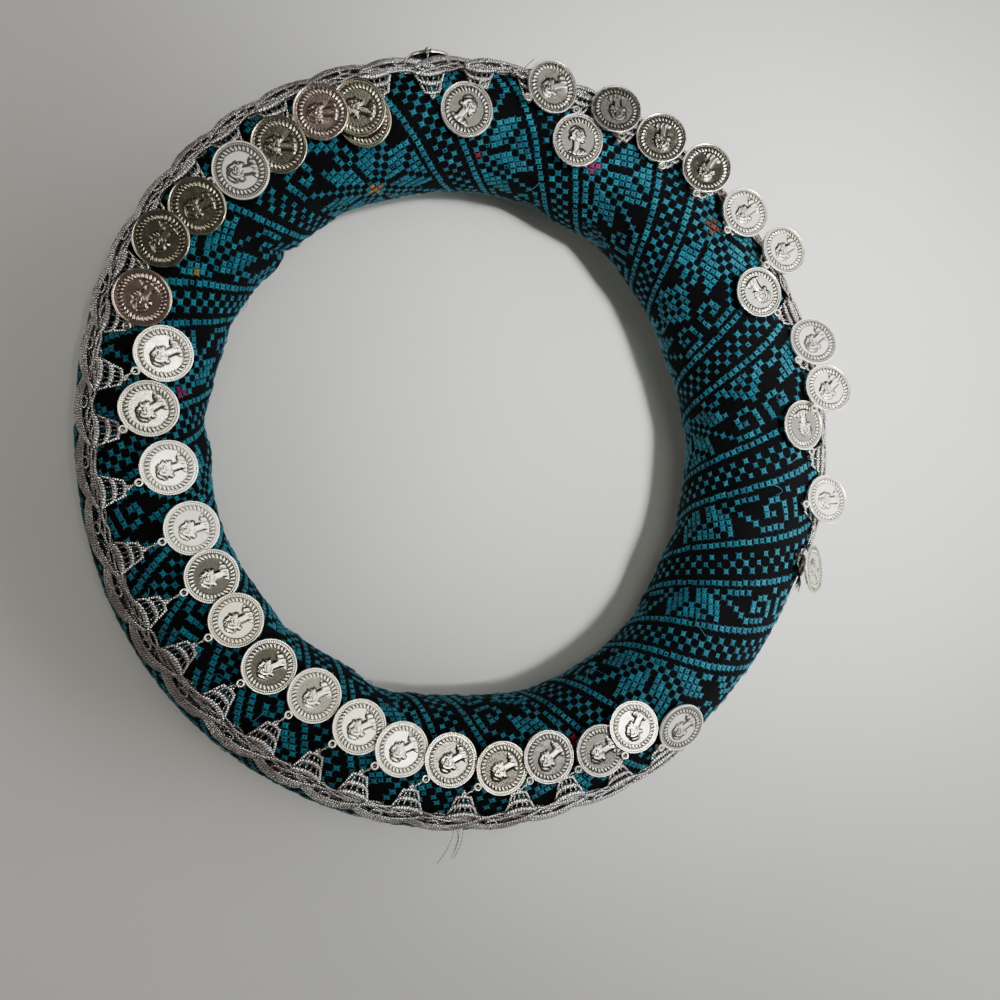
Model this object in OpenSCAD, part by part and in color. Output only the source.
// Coin headdress: a padded roll of cloth that sits round the head, a woven silver
// trimming round its outer shoulder, and a row of coins hung from the trimming's fans.
// Places on the ring are given by two angles in degrees: turn, counted round the ring
// from +X towards +Y, and round, counted round the roll's own section, where 0 faces
// outwards, 90 is the top and 180 faces the head.

/* [Padded ring] */
// Mean radius of the ring's centre line
ring_r = 115.2; // [112:0.1:118]
// How far the centre line's radius swings between its long and short way
ring_oval = 2.64; // [0:0.02:4]
// Turn of the ring's short way
oval_turn = 10; // [0:1:180]
// Mean radius of the padded roll
roll_r = 22.5; // [21:0.1:24]
// How much thicker the roll is on its thick side
roll_fat = 1.7; // [0:0.1:2]
// How far the roll is squashed flat where it rests
squash = 0.8; // [0.5:0.1:1.5]
// Flat sides along the ring
ring_sides = 68; // [60:2:100]
// Flat sides round the roll, with one flat at the bottom
roll_sides = 16; // [14:2:24]

/* [Trimming] */
// Gap between the cloth and what lies on it
seat_gap = 0.3; // [0.2:0.05:0.5]
// Thickness of the woven band
band_t = 1.6; // [1:0.1:1.8]
// Width of the woven band between its fans and its scallops
band_w = 4.4; // [4:0.1:6]
// How far a scallop stands out past the band
scallop_w = 5; // [3:0.1:6]
// Band sections from one fan to the next
band_steps = 4; // [4:1:8]
// Thickness of a fan
fan_t = 0.8; // [0.6:0.1:0.9]
// Length of a fan from the band to its tip
fan_len = 8.3; // [8:0.1:9]
// Width of a fan at the band
fan_base_w = 11.4; // [9:0.1:12]
// Width of a fan at its tip
fan_tip_w = 4.4; // [3.6:0.1:5]
// How far each bar of a fan bows towards the tip
fan_bow = 1.2; // [0:0.1:1.6]

/* [Coins] */
// Radius of a coin
coin_r = 9; // [8:0.1:9]
// Thickness of a coin over its rim
coin_t = 1; // [0.8:0.05:1]
// Depth of a coin's field below its rim, on each face
field_depth = 0.2; // [0.1:0.05:0.25]
// Width of a coin's plain rim
rim_w = 0.7; // [0.4:0.05:1]
// Radius of the raised line round the head
line_r = 5.6; // [5.2:0.1:6]
// Number of plain strokes round the line
strokes = 16; // [8:1:20]
// Outer radius of a coin's eye
eye_r = 1.4; // [1.2:0.05:1.5]
// Radius of the hole in a coin's eye
eye_hole_r = 0.7; // [0.5:0.05:0.8]

/* [Hidden] */
// The table's columns: where the fan's tip is, then where the coin's middle is, how far
// that stands off the cloth in mm, and how far the coin dips onwards and inwards
FAN_TURN = 0;
FAN_ROUND = 1;
COIN_TURN = 2;
COIN_ROUND = 3;
COIN_LIFT = 4;
DIP_ON = 5;
DIP_IN = 6;
HANGINGS = [
    // turned out over the trimming, or lying next to it, on the right side
    [5.5, 66, 8.8, 55, 6.4, 10, 34],
    [14.3, 70, 16.7, 56, 5.2, 12, 32],
    [22.3, 74, 27.8, 84.5, 1.8, 0, 0],
    [31.3, 66, 31.9, 51, 7.6, 0, 31],
    [40, 78, 40.3, 60, 5.3, 0, 26],
    [48.2, 80, 49.7, 62, 5.7, 6, 30],
    [56, 82, 58.4, 67, 4.4, 8, 25],
    [64.3, 86, 66.9, 68, 4.4, 6, 16],
    [72.8, 82, 71, 104, 1.4, 0, -8],
    [80.8, 84, 77.7, 73, 4.2, -8, 19],
    [89.3, 84, 91.5, 102, 1.2, 0, -4],
    [97.2, 90, 95.9, 8, 1.0, 0, 0],
    // lying on one another like tiles across the far left
    [105.5, 86, 109.5, 101.5, 2.1, 7, -4],
    [113.8, 84, 110, 94, 3.7, 7, 3.5],
    [121.8, 80, 116, 88.5, 3.9, 7, 4],
    [130, 80, 124.5, 95.5, 3.1, 7, 0],
    [138, 81, 132, 94.5, 2.6, 7, 0],
    [146, 81, 141, 90.5, 2.4, 7, 2],
    [154.5, 80, 148.5, 83, 2.7, 7, 6],
    [162.5, 84, 158, 89, 2.7, 6, 2],
    // lying on the cloth down the left side and along the near side
    [171, 88, 165.5, 114.5, 1.7, 5, -4],
    [179.5, 88, 175.5, 109, 1.7, 5, -4],
    [188.7, 89, 186, 123, 2.0, 5, -8],
    [199, 90, 198, 131, 2.3, 5, -12],
    [208.2, 90, 208, 131, 2.4, 5, -12],
    [216.6, 91, 217.5, 128, 2.5, 5, -12],
    [225.7, 91, 228, 122, 2.3, 5, -10],
    [234.9, 91, 238, 124.5, 2.2, 5, -10],
    [243.1, 88, 248, 118.5, 2.0, 5, -8],
    [250.9, 86, 256.5, 112, 1.8, 5, -6],
    [259.4, 84, 265.5, 109.5, 1.7, 5, -6],
    [268, 82, 274.5, 102.5, 1.7, 5, -5],
    [277, 82, 283, 104, 1.8, 5, -5],
    [285, 84, 292, 93.5, 1.8, 5, 0],
    [293.5, 72, 299, 96.5, 1.9, 5, 0],
    [301, 64, 306, 67.5, 1.6, 0, 4],
    // past the stretch that has no trimming
    [341, 58, 340, 42, 5.2, 15, 12],
    [349.5, 68, 351, 51, 5.1, 8, 30],
    [357.5, 66, 3, 76, 1.5, 0, 0],
];
// The cloth's dents on the side of the head: turn, depth in mm (less than 0 is a bulge)
// and reach in degrees of turn
DENT_TURN = 0;
DENT_DEPTH = 1;
DENT_REACH = 2;
DENTS = [
    [0, 0.8, 5],
    [24, -1.0, 6],
    [57, 1.0, 5],
    [67, -0.9, 4],
    [114, 0.7, 4],
    [138, -0.8, 4],
    [174, 0.8, 4],
    [183, -0.9, 4],
    [215, -0.7, 6],
    [240, -0.7, 4],
    [251, 1.5, 5],
    [271, -0.8, 8],
    [312, 0.6, 5],
    [331, -0.9, 4],
];
// The dents lie round this line of the roll, and end this far from it
DENT_ROUND = 195;
DENT_SPREAD = 64;
// Where the ring's box is centred, so that its middle is the origin
BOX_CENTRE = [3.253, 0.624];
// The band's middle stands this much further off the cloth than its edges
BAND_CROWN = 0.25;
// The band reaches this many degrees of turn past its first and last fan
BAND_PAST = 2.6;
// Lines across a fan, in mm from its tip: bars lie between the even pairs
FAN_LINES = [0, 1.1, 3.1, 4.3, 6.4];
// How far a fan's root goes into the band, and how far it rises there
FAN_ROOT = 0.4;
FAN_ROOT_RISE = 0.3;
// Columns of a fan as parts of its half width, with a rim on each side and a spoke in the middle
FAN_COLUMNS = [-1, -0.8, -0.09, 0.09, 0.8, 1];
SPOKE = 2;
// The eye's middle is this far from the coin's, so that the two run into one another
EYE_AT = coin_r + eye_r - 0.2;
// Height of a coin's field over its middle plane
FIELD_Z = coin_t / 2 - field_depth;
// Height of a coin's raised marks over its field, and its edge's chamfer
RELIEF = 0.1;
CHAMFER = 0.12;
// Half width of the raised line, and the strokes' distance from it, length and width
LINE_HALF = 0.15;
STROKE_GAP = 0.7;
STROKE_LEN = 1.4;
STROKE_W = 0.4;
// The row of HANGINGS at the trimming's loose end
FIRST_FAN = 36;

// Smallest turn from a to b, with its sign
function turn_between(a, b) = (b - a + 540) % 360 - 180;

// Radius of the centre line and of the roll at a turn
function centre_line(turn) =
    ring_r
    - ring_oval * cos(2 * (turn - oval_turn))
    - 0.35 * cos(3 * turn)
    + 0.42 * cos(5 * turn);
function roll(turn) =
    roll_r
    + roll_fat * cos(turn + 9)
    + 0.36 * cos(2 * turn)
    + 0.68 * cos(3 * turn - 25);

// How deep the dents are at a place
function dent(turn, round) =
    let (off = min(abs(round - DENT_ROUND), abs(round + 360 - DENT_ROUND)))
    let (spread = off < DENT_SPREAD ? cos(90 * off / DENT_SPREAD) : 0)
    spread * sum([for (d = DENTS)
        d[DENT_DEPTH] * exp(-pow(turn_between(d[DENT_TURN], turn) / d[DENT_REACH], 2))]);
function sum(list) = list * [for (item = list) 1];

// A point that stands off the smooth cloth
function on_cloth(turn, round, off) =
    let (r = roll(turn) + off)
    let (out = centre_line(turn) + r * cos(round))
    [out * cos(turn), out * sin(turn), roll(turn) - squash + r * sin(round)];

// Directions at a place: off the cloth, onwards along the ring, and up the roll
function off_cloth(turn, round) = [cos(round) * cos(turn), cos(round) * sin(turn), sin(round)];
function onwards(turn) = [-sin(turn), cos(turn), 0];
function inwards(turn, round) = [-sin(round) * cos(turn), -sin(round) * sin(turn), cos(round)];

// Degrees round the roll, or of turn, that a length along the cloth takes
function round_of(turn, length) = length / roll(turn) * 180 / PI;
function turn_of(turn, round, length) =
    length / (centre_line(turn) + roll(turn) * cos(round)) * 180 / PI;

// The fans in order along the band, from the loose end on, with turns that only grow
function fan(k) = HANGINGS[(k + FIRST_FAN) % len(HANGINGS)];
function fan_turn(k) = fan(k)[FAN_TURN] - (k + FIRST_FAN < len(HANGINGS) ? 360 : 0);
FAN_ORDER = [for (k = [0 : len(HANGINGS) - 1]) [fan_turn(k), k]];
FAN_TIPS = [for (k = [0 : len(HANGINGS) - 1]) [fan_turn(k), fan(k)[FAN_ROUND]]];

// The padded roll, cut flat where it rests
module padded_ring() {
    step = 360 / roll_sides;
    points = [
        for (i = [0 : ring_sides - 1])
        for (j = [0 : roll_sides - 1])
        let (turn = i * 360 / ring_sides)
        let (round = -90 + (j + 0.5) * step)
        let (p = on_cloth(turn, round, -dent(turn, round)))
        [p.x, p.y, max(p.z, 0)]
    ];
    faces = [
        for (i = [0 : ring_sides - 1])
        for (j = [0 : roll_sides - 1])
        let (i2 = (i + 1) % ring_sides)
        let (j2 = (j + 1) % roll_sides)
        let (a = i * roll_sides + j)
        let (b = i * roll_sides + j2)
        let (c = i2 * roll_sides + j2)
        let (d = i2 * roll_sides + j)
        each [[a, b, c], [a, c, d]]
    ];
    color("#17191d") in_frame() polyhedron(points, faces);
}

// The woven band with its scallops: a section of five corners, swept along the fans
module band() {
    first = -BAND_PAST + FAN_ORDER[0][0];
    last = BAND_PAST + FAN_ORDER[len(FAN_ORDER) - 1][0];
    turns = [
        first,
        for (k = [0 : len(FAN_ORDER) - 2])
        for (s = [0 : band_steps - 1])
        FAN_ORDER[k][0] + (FAN_ORDER[k + 1][0] - FAN_ORDER[k][0]) * s / band_steps,
        FAN_ORDER[len(FAN_ORDER) - 1][0],
        last
    ];
    points = [
        for (turn = turns)
        let (part = lookup(turn, FAN_ORDER))
        let (swell = pow(abs(sin(180 * part)), 0.7))
        let (inner = lookup(turn, FAN_TIPS) - round_of(turn, fan_len))
        let (outer = inner - round_of(turn, band_w + scallop_w * swell))
        each [
            on_cloth(turn, inner, seat_gap),
            on_cloth(turn, inner, seat_gap + band_t),
            on_cloth(turn, (inner + outer) / 2, seat_gap + BAND_CROWN + band_t),
            on_cloth(turn, outer, seat_gap + band_t / 2),
            on_cloth(turn, (inner + outer) / 2, seat_gap + BAND_CROWN)
        ]
    ];
    n = 5;
    m = len(turns) - 1;
    sides = [
        for (i = [0 : m - 1])
        for (j = [0 : n - 1])
        let (j2 = (j + 1) % n)
        each [[i * n + j, i * n + n + j2, i * n + j2], [i * n + j, i * n + n + j, i * n + n + j2]]
    ];
    start = [[0, 1, 4], [1, 2, 4], [2, 3, 4]];
    end = [for (f = start) [m * n + f[2], m * n + f[1], m * n + f[0]]];
    polyhedron(points, concat(sides, start, end));
}

// One pierced fan: bars that bow towards the tip, joined by a rim on each side
module pierced_fan(row) {
    lines = concat(FAN_LINES, [fan_len + FAN_ROOT]);
    nx = len(FAN_COLUMNS);
    nt = len(lines);
    function open(i, j) = i > 0 && i < nx - 2 && (j == 1 || (j == 3 && i != SPOKE));
    function solid(i, j) = i >= 0 && i < nx - 1 && j >= 0 && j < nt - 1 && !open(i, j);
    points = [
        for (top = [0, 1])
        for (j = [0 : nt - 1])
        for (i = [0 : nx - 1])
        let (way = lines[j] / fan_len)
        let (across = FAN_COLUMNS[i] * (fan_tip_w + (fan_base_w - fan_tip_w) * way) / 2)
        let (bow = fan_bow * min(way, 1) * pow(FAN_COLUMNS[i], 2) * (j < nt - 1 ? 1 : 0))
        let (round = row[FAN_ROUND] - round_of(row[FAN_TURN], lines[j] + bow))
        let (turn = row[FAN_TURN] + turn_of(row[FAN_TURN], round, across))
        on_cloth(turn, round, seat_gap + top * fan_t + (j < nt - 1 ? 0 : FAN_ROOT_RISE))
    ];
    function at(top, j, i) = (top * nt + j) * nx + i;
    function quad(a, b, c, d) = [[a, b, c], [a, c, d]];
    faces = [
        for (j = [0 : nt - 2])
        for (i = [0 : nx - 2])
        if (solid(i, j))
        each concat(
            quad(at(1, j, i), at(1, j, i + 1), at(1, j + 1, i + 1), at(1, j + 1, i)),
            quad(at(0, j, i), at(0, j + 1, i), at(0, j + 1, i + 1), at(0, j, i + 1)),
            solid(i, j - 1) ? [] : quad(at(0, j, i), at(0, j, i + 1), at(1, j, i + 1), at(1, j, i)),
            solid(i, j + 1) ? [] :
                quad(at(0, j + 1, i + 1), at(0, j + 1, i), at(1, j + 1, i), at(1, j + 1, i + 1)),
            solid(i - 1, j) ? [] : quad(at(0, j + 1, i), at(0, j, i), at(1, j, i), at(1, j + 1, i)),
            solid(i + 1, j) ? [] :
                quad(at(0, j, i + 1), at(0, j + 1, i + 1), at(1, j + 1, i + 1), at(1, j, i + 1))
        )
    ];
    polyhedron(points, faces);
}

// The whole trimming, woven in one piece
module gimp_braid() {
    color("#b9b8b2") in_frame() union() {
        band();
        for (row = HANGINGS) pierced_fan(row);
    }
}

// A plain raised head in profile, drawn with its top towards the eye
module head_outline() {
    polygon([
        [4.1, 0.6], [3.9, -0.9], [3.0, -1.9], [2.1, -2.2], [1.3, -2.9], [0.9, -2.3],
        [0.4, -2.4], [-0.2, -2.1], [-1.0, -1.6], [-1.6, -0.6], [-2.4, -0.9], [-4.2, -2.6],
        [-4.6, 0.4], [-4.0, 3.2], [-2.9, 2.0], [-1.2, 1.4], [0.6, 2.3], [2.4, 2.6], [3.6, 1.9]
    ]);
}

// The struck disc with its eye, seen face up with the eye towards +X
module coin() {
    half = coin_t / 2;
    eye_t = coin_t - 2 * RELIEF;
    sunk = FIELD_Z - RELIEF;
    difference() {
        union() {
            rotate_extrude($fn = 64) polygon([
                [0, -FIELD_Z], [coin_r - rim_w, -FIELD_Z], [coin_r - rim_w, -half],
                [coin_r - CHAMFER, -half], [coin_r, -half + CHAMFER],
                [coin_r, half - CHAMFER], [coin_r - CHAMFER, half],
                [coin_r - rim_w, half], [coin_r - rim_w, FIELD_Z],
                [line_r + LINE_HALF, FIELD_Z], [line_r, FIELD_Z + RELIEF],
                [line_r - LINE_HALF, FIELD_Z], [0, FIELD_Z]
            ]);
            translate([EYE_AT, 0, -eye_t / 2]) cylinder(r = eye_r, h = eye_t, $fn = 32);
            translate([0, 0, sunk]) linear_extrude(2.2 * RELIEF) head_outline();
            for (k = [0 : strokes - 1])
                rotate(k * 360 / strokes)
                translate([line_r + STROKE_GAP, -STROKE_W / 2, sunk])
                cube([STROKE_LEN, STROKE_W, 2 * RELIEF]);
        }
        translate([EYE_AT, 0, -coin_t]) cylinder(r = eye_hole_r, h = 2 * coin_t, $fn = 32);
    }
}

// A coin at its place: its face is the cloth's own direction dipped onwards and inwards,
// and its eye points to the fan's tip
module hung_coin(k) {
    row = HANGINGS[k];
    turn = row[COIN_TURN];
    round = row[COIN_ROUND];
    middle = on_cloth(turn, round, row[COIN_LIFT]);
    tip = on_cloth(row[FAN_TURN], row[FAN_ROUND], seat_gap + fan_t);
    dipped = off_cloth(turn, round) * cos(row[DIP_IN]) + inwards(turn, round) * sin(row[DIP_IN]);
    face = dipped * cos(row[DIP_ON]) + onwards(turn) * sin(row[DIP_ON]);
    flat = (tip - middle) - face * ((tip - middle) * face);
    eye = flat / norm(flat);
    side = cross(face, eye);
    color("#cfc9b4") in_frame() multmatrix([
        [eye.x, side.x, face.x, middle.x],
        [eye.y, side.y, face.y, middle.y],
        [eye.z, side.z, face.z, middle.z]
    ]) coin();
}
function coin_name(k) = str("coin_", k < 9 ? "0" : "", k + 1);

// Moves a piece so that the object's box is centred on the origin
module in_frame() {
    translate([-BOX_CENTRE.x, -BOX_CENTRE.y, 0]) children();
}

padded_ring();
gimp_braid();
for (k = [0 : len(HANGINGS) - 1])
    hung_coin(k);
